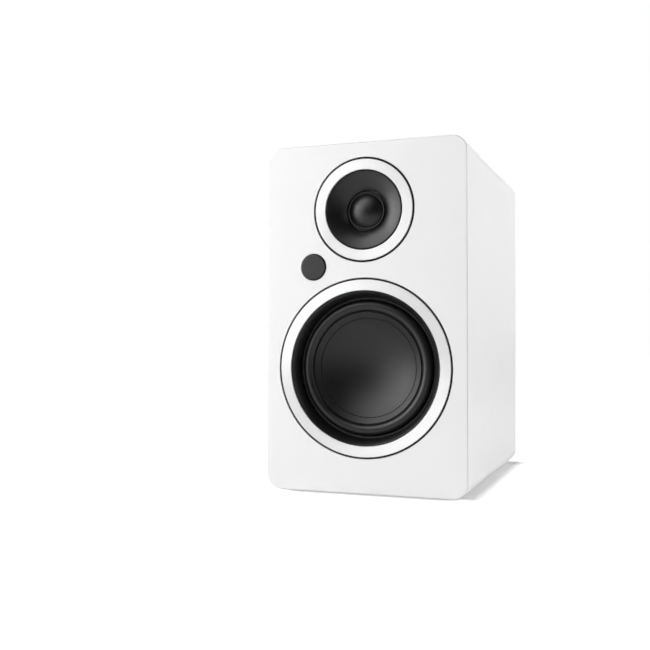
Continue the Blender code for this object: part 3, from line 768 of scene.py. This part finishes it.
def build_spider():
    """Corrugated cloth ring whose waves fade out at both edges."""
    wave = [(13.6, SPIDER_DEPTH), (16.5, SPIDER_DEPTH)]
    count, waves, swing, thickness = 60, 4.5, 1.5, 0.5
    for step in range(count + 1):
        t = step / count
        radius = SPIDER_INNER + (SPIDER_OUTER - SPIDER_INNER) * t
        fade = min(1, 6 * t, 6 - 6 * t)
        wave.append((radius, SPIDER_DEPTH - swing * sin(2 * pi * waves * t) * fade))
    wave += [(44.6, SPIDER_DEPTH), (49.6, SPIDER_DEPTH)]
    under = [(radius, depth + thickness) for radius, depth in reversed(wave)]
    spider = turned("woofer_damper", wave + under, WOOFER, SMALL_ROUND)
    dress_blended(spider, "spider_cloth", "woofer_cone", SPIDER_INNER, SPIDER_OUTER,
                  ["woofer_spider"])


# ---------------------------------------------------------------- tweeter

HORN_MOUTH = (32.0, 0.55)          # (radius, depth) in mm
HORN_THROAT = (17.3, 9.2)
HORN_BEND = (21.8, 4.2)
HORN_BACK = 12.4
DOME_RADIUS = 13.4
DOME_RISE = 4.8
DOME_RIM_DEPTH = 9.8
VALLEY = 14.15                    # radius of the surround's deepest line
VALLEY_HALF = 0.7


def build_horn():
    """Horn with a dark groove round its mouth and a black rim round the trim ring."""
    horn = turned("tweeter_horn", bell(HORN_THROAT, HORN_BEND, HORN_MOUTH, 40) + [
        (32.25, 0.55, 0.1), (32.25, 1.6), (42.5, 1.6), (42.5, 0.3, 0.1), (43.75, 0.3, 0.1),
        (43.75, 4.7), (35.4, 4.7, 0.4), (35.4, 8.4, 1.0), (31.0, HORN_BACK, 0.5),
        (HORN_THROAT[0], HORN_BACK)], TWEETER)
    dress(horn, "horn", stands_for=["tweeter_waveguide"])


def build_dome_mount():
    """Ring that holds the dome, and the rolled surround between the two."""
    mount = turned("dome_ring", [(14.9, 8.5, 0.35), (15.8, 8.5, 0.35), (15.8, 10.6, 0.2),
                                 (16.9, 10.6), (16.9, HORN_BACK), (14.9, HORN_BACK)],
                   TWEETER, MIDDLE_ROUND)
    dress(mount, "black_plastic", stands_for=["tweeter_mount_ring"])
    thickness = 0.35
    valley = oval((VALLEY, DOME_RIM_DEPTH), (VALLEY_HALF, VALLEY_HALF), 180, 0, 12)
    under = [(radius, depth + thickness) for radius, depth in reversed(valley)]
    roll = turned("dome_roll", valley + under, TWEETER, MIDDLE_ROUND)
    dress_blended(roll, "black_rubber", "tweeter_dome", 13.6, 14.7, ["tweeter_surround"])


def build_dome():
    """Thin domed cap, hollow underneath."""
    outer = []
    inner = []
    count = 22
    for step in range(count):
        radius = DOME_RADIUS * step / (count - 1)
        rise = cap_depth(DOME_RADIUS, DOME_RISE, radius)
        outer.append((radius, DOME_RIM_DEPTH - rise))
        inner.append((radius * 0.96, DOME_RIM_DEPTH - rise * 0.94))
    dome = turned("soft_dome", outer + inner[::-1], TWEETER, MIDDLE_ROUND)
    dress(dome, "dome_silk", "tweeter_dome", stands_for=["tweeter_dome"])


# ---------------------------------------------------------------- front button

def build_button():
    """Dark cap in its housing, on a rubber return dome."""
    cap = turned("button_cap", [(0, -0.8), (10.3, -0.8, 0.45), (10.3, 2.4, 0.2), (2.6, 2.4, 0.2),
                                (2.6, 13.0, 0.3), (0, 13.0)], BUTTON, MIDDLE_ROUND)
    dress(cap, "smoked_window", "front_button", stands_for=["front_button"])
    housing = turned("button_guide", [
        (10.6, 0.3, 0.15), (11.15, 0.3, 0.15), (11.15, 17.6, 0.2), (9.8, 17.6, 0.2), (9.8, 11.0),
        (3.0, 11.0, 0.3), (3.0, 9.0, 0.3), (10.6, 9.0)], BUTTON, MIDDLE_ROUND)
    dress(housing, "black_plastic", stands_for=["button_housing"])
    top, foot = 2.7, 8.7
    spring = turned("return_dome", [(6.4, foot, 0.1), (8.0, foot, 0.2), (5.0, top, 0.3),
                                    (3.4, top, 0.2)], BUTTON, FINE_ROUND)
    dress(spring, "black_rubber", stands_for=["button_return_dome"])
    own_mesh(spring)


# ---------------------------------------------------------------- amplifier and sockets

PLATE_FRONT, PLATE_BACK = (depth_of("amp_plate", end) for end in (0, 1))
PHONO_LEVEL = 8.0                 # mm above and below the middle of the phono inputs
PRINT_THICKNESS = 0.12 * MM
PRINT_EDGE = 0.03 * MM
ROCKER_TILT = radians(8)


def from_plate(outline):
    """Outline whose depths count backwards from the plate's outer face."""
    return [(radius, PLATE_BACK + depth, *rest) for radius, depth, *rest in outline]


def socket_body(name, node, body, cavity, flange, depths, corners):
    """Panel socket with softened flange edges; all in mm.

    The depths are those of the body's front, the cavity's floor and the flange's outer face,
    from the plate's outer face. The corner radii are in the order body, cavity, flange.
    """
    body_front, cavity_floor, flange_back = (PLATE_BACK + depth for depth in depths)
    body_corner, cavity_corner, flange_corner = corners
    edge = 0.5
    seat = PLATE_BACK + GAP / MM
    rows = [(cavity, cavity_corner, cavity_floor), (cavity, cavity_corner, flange_back - edge)]
    rows += [((cavity[0] + edge, cavity[1] + edge), cavity_corner + edge / 2, flange_back)]
    for inset, down in edge_round(0, 90, 4, edge):
        rows.append(((flange[0] - 2 * inset, flange[1] - 2 * inset), flange_corner - inset,
                     flange_back - down))
    rows += [(flange, flange_corner, seat), (body, body_corner, seat),
             (body, body_corner, body_front)]
    loops = [rounded_loop(size[0] * MM, size[1] * MM, corner * MM, depth * MM, 8)
             for size, corner, depth in rows]
    return lofted(name, loops, axis_of(node))


def build_plate():
    """Amplifier plate with softened edges and the holes of all that passes through it."""
    size = size_of("amp_plate")
    corner = 5 * MM
    edges = edge_round(0, 90, 5, 0.5 * MM)
    sections = [(inset, PLATE_FRONT * MM + down) for inset, down in edges]
    sections += [(inset, PLATE_BACK * MM - down) for inset, down in reversed(edges)]
    loops = [rounded_loop(size.x - 2 * inset, size.z - 2 * inset, corner - inset, depth)
             for inset, depth in sections]
    made = lofted("rear_plate", loops, axis_of("amp_plate"))
    through = (PLATE_FRONT - CUT_PAST, PLATE_BACK + CUT_PAST)
    cutters = []
    for node, radius in (("volume_encoder", 3.8), ("post_red", 4.4), ("post_black", 4.4)):
        cutters.append(round_cutter(axis_of(node), radius, *through, SCREW_ROUND))
    for level in (PHONO_LEVEL, -PHONO_LEVEL):
        spot = axis_of("rca_inputs") + Vector((0, 0, level * MM))
        cutters.append(round_cutter(spot, 4.5, *through, SCREW_ROUND))
    for node, width, height, corner in (("power_switch_housing", 11.6, 17.6, 1.0),
                                        ("mains_inlet", 18.6, 12.6, 2.0),
                                        ("optical_input", 10.6, 10.6, 0.8)):
        cutters.append(square_cutter(axis_of(node), width, height, corner, *through, 8))
    carve(made, cutters)
    dress(made, "plate_paint", stands_for=["amp_plate"])


def cross_screw(name, spot, head, back):
    """Pan-head screw with a cross recess, seen on a face that looks backwards; sizes in mm."""
    shank = head * 0.5
    made = turned(name, [(0, back - 6), (shank, back - 6, 0.3), (shank, back + 0.05),
                         (head, back + 0.05, 0.15), (head, back + 0.9, 0.7),
                         (shank, back + 1.5, 2.0), (0, back + 1.55)], spot, SCREW_ROUND)
    recess = (head * 1.1 * MM, 1.2 * MM, head * 0.26 * MM)
    place = spot + Vector((0, (back + 1.4) * MM, 0))
    slots = [block("cutter", recess, place, 0.12 * MM, 2, (0, radians(angle), 0))
             for angle in (45, 135)]
    carve(made, slots)
    dress(made, "steel")


def build_screws():
    """Six screws along the plate's sides, numbered from the bottom up on each side."""
    size = size_of("amp_plate")
    margin = 5 * MM
    index = 0
    for side_x in (-1, 1):
        for level in (-1, 0, 1):
            index += 1
            spot = axis_of("amp_plate") + Vector((side_x * (size.x / 2 - margin), 0,
                                                  level * (size.z / 2 - margin)))
            cross_screw(f"plate_screw_{index}", spot, 2.7, PLATE_BACK)


def build_volume():
    """Encoder's bush and the fluted knob with its pointer."""
    spot = axis_of("volume_knob")
    encoder = turned("encoder_bush", from_plate([
        (2.4, -13.5), (8.0, -13.5, 0.4), (8.0, -2.5, 0.4), (3.4, -2.5, 0.1), (3.4, 2.1, 0.3),
        (2.4, 2.1, 0.1)]), spot, FINE_ROUND)
    dress(encoder, "steel", stands_for=["volume_encoder"])
    sections = from_plate([
        (2.1, -10.5, 0), (2.1, 3.7, 0), (4.5, 3.7, 0), (4.5, 0.7, 0), (9.6, 0.7, 0), (9.9, 1.0, 0),
        (9.9, 2.1, 0), (9.7, 2.5, 0.35), (9.8, 11.9, 0.35), (9.8, 12.4, 0), (9.6, 13.4, 0),
        (9.0, 14.0, 0), (8.2, 14.1, 0), (7.6, 13.7, 0)])
    knob = lofted("volume_dial", fluted_loops(sections, 144, 36), spot)
    dress(knob, "black_plastic", "volume_knob", stands_for=["volume_knob"])
    pointer = block("volume_pointer", (0.9 * MM, 0.3 * MM, 4.2 * MM),
                    spot + Vector((0, (PLATE_BACK + 13.75) * MM, 4.6 * MM)), 0.1 * MM, 2)
    dress(pointer, "print_white", "volume_knob")


def build_volume_marks():
    """Generic scale of eleven strokes, each a little longer than the last, over 270 degrees."""
    count, sweep, radius = 11, 270, 13.4 * MM
    for index in range(count):
        angle = radians(sweep * (index / (count - 1) - 0.5))
        place = Vector((radius * sin(angle), (PLATE_BACK + 0.02) * MM, radius * cos(angle)))
        stroke = (0.55 * MM, PRINT_THICKNESS, (0.9 + 0.09 * index) * MM)
        mark = block(f"volume_mark_{index}", stroke, axis_of("volume_knob") + place, PRINT_EDGE, 1,
                     (0, angle, 0))
        dress(mark, "print_white")


def build_power_switch():
    """Rocker in its housing, with the generic on stroke and off ring."""
    housing = socket_body("switch_frame", "power_switch_housing", (11, 17), (9.6, 15.8),
                          (14, 20), (-15.5, -8.5, 1.5), (0.8, 0.3, 1.5))
    dress(housing, "black_plastic", stands_for=["power_switch_housing"])
    pivot = axis_of("power_switch_housing") + Vector((0, (PLATE_BACK - 1.5) * MM, 0))
    half, waist, crest = 7.0, 3.0, 4.2          # half height, and how far the key stands out
    outline = [(crest, -half, 0.5), (waist, 0.0, 6.0), (crest, half, 0.5), (-1.0, half, 0.5),
               (-4.0, 3.0, 0.5), (-4.0, -3.0, 0.5), (-1.0, -half, 0.5)]
    side_view = soften(outline, True, 6)
    loops = []
    for across, inset in ((-4.5, 0.35), (-4.35, 0.1), (-4.1, 0),
                          (4.1, 0), (4.35, 0.1), (4.5, 0.35)):
        loops.append([(across * MM, point.x * (1 - inset / 6) * MM, point.y * (1 - inset / 8) * MM)
                      for point in side_view])
    rocker = lofted("rocker_key", loops, pivot)
    rocker.rotation_euler = (-ROCKER_TILT, 0, 0)
    dress(rocker, "post_black_plastic", "power_rocker",
          stands_for=["power_rocker"])
    turn = Matrix.Rotation(-ROCKER_TILT, 3, "X")
    slope = radians(9.7)
    level = 4.4
    outward = waist + level / half * (crest - waist) - 0.02
    thin = PRINT_THICKNESS / MM / 2
    on = block("rocker_mark_on", (0.6 * MM, PRINT_THICKNESS, 3.0 * MM),
               pivot + turn @ Vector((0, outward * MM, level * MM)), PRINT_EDGE, 1,
               (-ROCKER_TILT - slope, 0, 0))
    off = turned("rocker_mark_off", [(1.1, -thin), (1.6, -thin), (1.6, thin), (1.1, thin)],
                 pivot + turn @ Vector((0, outward * MM, -level * MM)), SCREW_ROUND,
                 (FACING_BACK[0] - ROCKER_TILT + slope, 0, 0))
    for mark in (on, off):
        dress(mark, "print_white", "power_rocker")


def build_inlet():
    """Two-pin mains inlet."""
    spot = axis_of("mains_inlet")
    inlet = socket_body("inlet_frame", "mains_inlet", (18, 12), (14.6, 8), (23, 17),
                        (-16.5, -11.5, 1.7), (1.5, 3.9, 2.5))
    dress(inlet, "black_plastic", stands_for=["mains_inlet"])
    for name, side in (("inlet_contact_left", -4.3), ("inlet_contact_right", 4.3)):
        pin = turned(name, from_plate([(0, -11.6), (1.15, -11.6), (1.15, -2.3, 0.6), (0, -2.3)]),
                     spot + Vector((side * MM, 0, 0)), 32)
        dress(pin, "steel")


def build_inputs():
    """Pair of phono sockets on one body, and the optical input."""
    spot = axis_of("rca_inputs")
    low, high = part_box("rca_inputs")
    body_back = PLATE_BACK - 2.6
    body_front = depth_of("rca_inputs", 0)
    body = block("phono_body", (13 * MM, (body_back - body_front) * MM, high.z - low.z),
                 spot + Vector((0, (body_back + body_front) / 2 * MM, 0)), 0.8 * MM)
    dress(body, "black_plastic", stands_for=["rca_inputs"])
    for level, side, look in (("upper", 1, "white_plastic"), ("lower", -1, "red_plastic")):
        centre = spot + Vector((0, 0, side * PHONO_LEVEL * MM))
        shell = turned("phono_shell_" + level, from_plate([
            (3.4, -2.5), (4.1, -2.5), (4.1, 0.3), (4.15, 7.5, 0.25), (3.4, 7.5, 0.25)]),
            centre, FINE_ROUND)
        dress(shell, "steel")
        core = turned("phono_core_" + level, from_plate([
            (1.3, -1.5), (3.3, -1.5), (3.3, -0.3, 0.2), (2.7, -0.3), (2.7, 6.5, 0.3),
            (1.3, 6.5, 0.2)]), centre, FINE_ROUND)
        dress(core, look)
    optical = socket_body("optical_frame", "optical_input", (10, 10), (6.6, 6.6), (13, 13),
                          (-13.5, -7.5, 1.3), (0.6, 0.5, 1.0))
    dress(optical, "black_plastic", stands_for=["optical_input"])


def build_posts():
    """Screw terminals: stud, insulating collar, washer and fluted nut."""
    for colour, look in (("red", "red_plastic"), ("black", "post_black_plastic")):
        spot = axis_of("post_" + colour)
        end = depth_of("post_" + colour, 1) - PLATE_BACK
        stud = turned("stud_" + colour, from_plate([
            (0, -11.5), (3.6, -11.5, 0.3), (3.6, -1.5), (2.0, -1.5), (2.0, end, 0.5), (0, end)]),
            spot, SCREW_ROUND)
        dress(stud, "brass", stands_for=["post_" + colour])
        collar = turned("collar_" + colour, from_plate([
            (3.8, -2.6), (4.0, -2.6, 0.1), (4.0, 0.3), (7.0, 0.3, 0.3), (7.0, 2.5, 0.6),
            (2.3, 2.5, 0.2), (2.3, -0.9), (3.8, -1.1)]), spot, FINE_ROUND)
        dress(collar, look)
        washer = turned("washer_" + colour, from_plate([
            (2.4, 2.8, 0.1), (5.6, 2.8, 0.2), (5.6, 3.6, 0.2), (2.4, 3.6, 0.1)]), spot, FINE_ROUND)
        dress(washer, "brass", colour + "_washer", stands_for=["post_washer_" + colour])
        sections = from_plate([
            (6.6, 3.9, 0), (7.0, 4.3, 0.45), (7.0, 13.5, 0.45), (6.8, 14.4, 0.2), (6.2, 15.1, 0),
            (5.2, 15.3, 0), (2.9, 15.3, 0), (2.4, 14.9, 0), (2.4, 3.9, 0)])
        nut = lofted("terminal_" + colour, fluted_loops(sections, 120, 12, sharpness=2), spot,
                     ring=True)
        dress(nut, look, colour + "_nut", stands_for=["post_nut_" + colour])


# ---------------------------------------------------------------- hidden nodes

def dress_cad_nodes():
    """Give every CAD node that still shows the material of its slot."""
    slots = {entry["node"]: entry["material_slot"] for entry in frame["record"]["subparts"]}
    for name, node in frame["nodes"].items():
        if node.hide_render:
            continue
        node.data.materials.clear()
        node.data.materials.append(LOOKS[slots[name]])


# ---------------------------------------------------------------- stage, lights, camera

PANEL_SIZE = 1.0                  # metres
PANEL_DISTANCE = 1.5


def panel_light(name, location, target, power):
    """Square white panel that faces a target."""
    light = bpy.data.lights.new(name, "AREA")
    light.shape = "SQUARE"
    light.size = PANEL_SIZE
    light.energy = power
    made = bpy.data.objects.new(name, light)
    bpy.context.scene.collection.objects.link(made)
    made.location = location
    made.rotation_euler = (Vector(target) - Vector(location)).to_track_quat("-Z", "Y").to_euler()
    return made


def build_floor():
    """Pale floor with painted white light, for the camera only, beyond a painted contact shadow.

    The painted white grows with the distance from a box a little smaller than the cabinet's footprint, so
    the dark band it leaves round the base is a painted contact shadow.
    """
    # Middle and half size of the box where the floor's painted white is left out: a painted contact shadow,
    # shifted right and back.
    painted_shadow_middle = (0.005, 0.007, 0.0)
    painted_shadow_half = (0.0805, DEPTH / 2 - 0.007, 0.0)
    painted_white_reach = 0.0185                         # metres from the box to full painted white
    bm = bmesh.new()
    bmesh.ops.create_circle(bm, cap_ends=True, segments=96, radius=30.0)
    floor = add_piece("floor", bm, (0, 0, -0.0002))
    look = Finish("pale_floor", (0.9, 0.9, 0.9), 0.9)
    look.bump(look.noise(60.0, 2.0), 0.00005, 0.2)
    look.set("Specular IOR Level", 0.0)
    vector = look.space
    for operation, value in (("SUBTRACT", painted_shadow_middle), ("ABSOLUTE", None), ("SUBTRACT", painted_shadow_half),
                             ("MAXIMUM", (0.0, 0.0, 0.0)), ("LENGTH", None)):
        step = look.node("VectorMath", Vector=vector)
        step.operation = operation
        if value:
            step.inputs[1].default_value = value
        vector = step.outputs["Value" if operation == "LENGTH" else "Vector"]
    # Painted white light, seen by the camera only, from none at the box to full at the fade distance; the
    # floor glows with it though it is no lamp.
    painted_white_light = look.remap(vector, 0.0, 1.0, 0.0, painted_white_reach)
    seen = look.node("Math", Value=painted_white_light)
    seen.operation = "MULTIPLY"
    look.feed(seen.inputs[1], look.node("LightPath").outputs["Is Camera Ray"])
    look.set("Emission Color", (1.0, 1.0, 1.0, 1.0))
    look.feed(look.shader.inputs["Emission Strength"], seen.outputs["Value"])
    floor.data.materials.append(look.material)


def build_world():
    """Plain white for the camera; for other rays dark, with a pale patch behind the speaker."""
    patch_edge, patch_full, patch_strength = 0.80, 0.97, 0.5
    world = bpy.data.worlds.new("studio")
    bpy.context.scene.world = world
    world.use_nodes = True
    tree = world.node_tree
    background = tree.nodes["Background"]
    background.inputs["Color"].default_value = (1.0, 1.0, 1.0, 1.0)
    place = tree.nodes.new("ShaderNodeTexCoord")
    split = tree.nodes.new("ShaderNodeSeparateXYZ")
    tree.links.new(place.outputs["Generated"], split.inputs["Vector"])
    backdrop = tree.nodes.new("ShaderNodeMapRange")
    backdrop.inputs["From Min"].default_value = patch_edge
    backdrop.inputs["From Max"].default_value = patch_full
    backdrop.inputs["To Min"].default_value = 0.0
    backdrop.inputs["To Max"].default_value = patch_strength
    tree.links.new(split.outputs["Y"], backdrop.inputs["Value"])
    path = tree.nodes.new("ShaderNodeLightPath")
    seen = tree.nodes.new("ShaderNodeMath")
    seen.operation = "MAXIMUM"
    tree.links.new(path.outputs["Is Camera Ray"], seen.inputs[0])
    tree.links.new(backdrop.outputs["Result"], seen.inputs[1])
    tree.links.new(seen.outputs["Value"], background.inputs["Strength"])
    bpy.context.scene.view_settings.view_transform = "Standard"


def shield(panel, name):
    """Keep a panel's light off one object."""
    group = bpy.data.collections.new("shielded_from_" + panel.name)
    group.objects.link(bpy.data.objects[name])
    group.collection_objects[0].light_linking.link_state = "EXCLUDE"
    panel.light_linking.receiver_collection = group


def build_lights():
    """Soft square panels round the speaker.

    Each has its name, azimuth, elevation, watts and the object that is shielded from it. The two
    far left panels grade the drivers' bowls and cast the floor shadow, but would burn out the
    sleeve's left side. The rear panel lights the speaker's back and leaves the floor alone.
    """
    middle = Vector((0, FACE_Y, HEIGHT / 2))
    panels = (("front_high", 20, 46, 4.6, None), ("left_low", 50, 14, 7.9, None),
              ("left_high", 50, 46, 6.5, None), ("far_left_low", 80, 14, 15.0, "sleeve_shell"),
              ("far_left_high", 80, 46, 4.84, "sleeve_shell"), ("rear", 165, 30, 5.3, "floor"),
              ("back_right", -115, 22, 15.0, None), ("right", -80, 22, 3.3, None))
    for name, azimuth, elevation, power, shielded in panels:
        level = cos(radians(elevation))
        outward = Vector((-sin(radians(azimuth)) * level, -cos(radians(azimuth)) * level,
                          sin(radians(elevation))))
        panel = panel_light(name + "_panel", middle + outward * PANEL_DISTANCE, middle, power)
        if shielded:
            shield(panel, shielded)


def build_camera():
    """Low and to the right of the speaker, looking slightly up.

    The place comes from a perspective fit and counts in cabinet widths.
    """
    right, away, up = 1.3184, 4.0452, 0.7287
    camera_data = bpy.data.cameras.new("camera")
    camera_data.sensor_width = 36.0
    camera_data.lens = 49.62
    camera_data.clip_start = 0.01
    camera_data.clip_end = 100.0
    camera = bpy.data.objects.new("camera", camera_data)
    bpy.context.scene.collection.objects.link(camera)
    camera.location = (right * WIDTH, FACE_Y - away * WIDTH, UNDERSIDE + up * WIDTH)
    camera.rotation_euler = (radians(90.978), 0.0, radians(20.502))
    bpy.context.scene.camera = camera


# ---------------------------------------------------------------- assembly

build_camera()
build_sleeve()
build_baffle()
build_rear_panel()
build_feet()
build_port()
build_trim_ring("woofer", WOOFER, 64.9, 73.7, 0.3)
build_bezel()
build_basket()
build_surround()
build_cone()
build_spider()
build_horn()
build_trim_ring("tweeter", TWEETER, 33.7, 42.2, 0.25)
build_dome_mount()
build_dome()
build_button()
build_plate()
build_screws()
build_volume()
build_volume_marks()
build_power_switch()
build_inlet()
build_inputs()
build_posts()
dress_cad_nodes()
build_floor()
build_world()
build_lights()
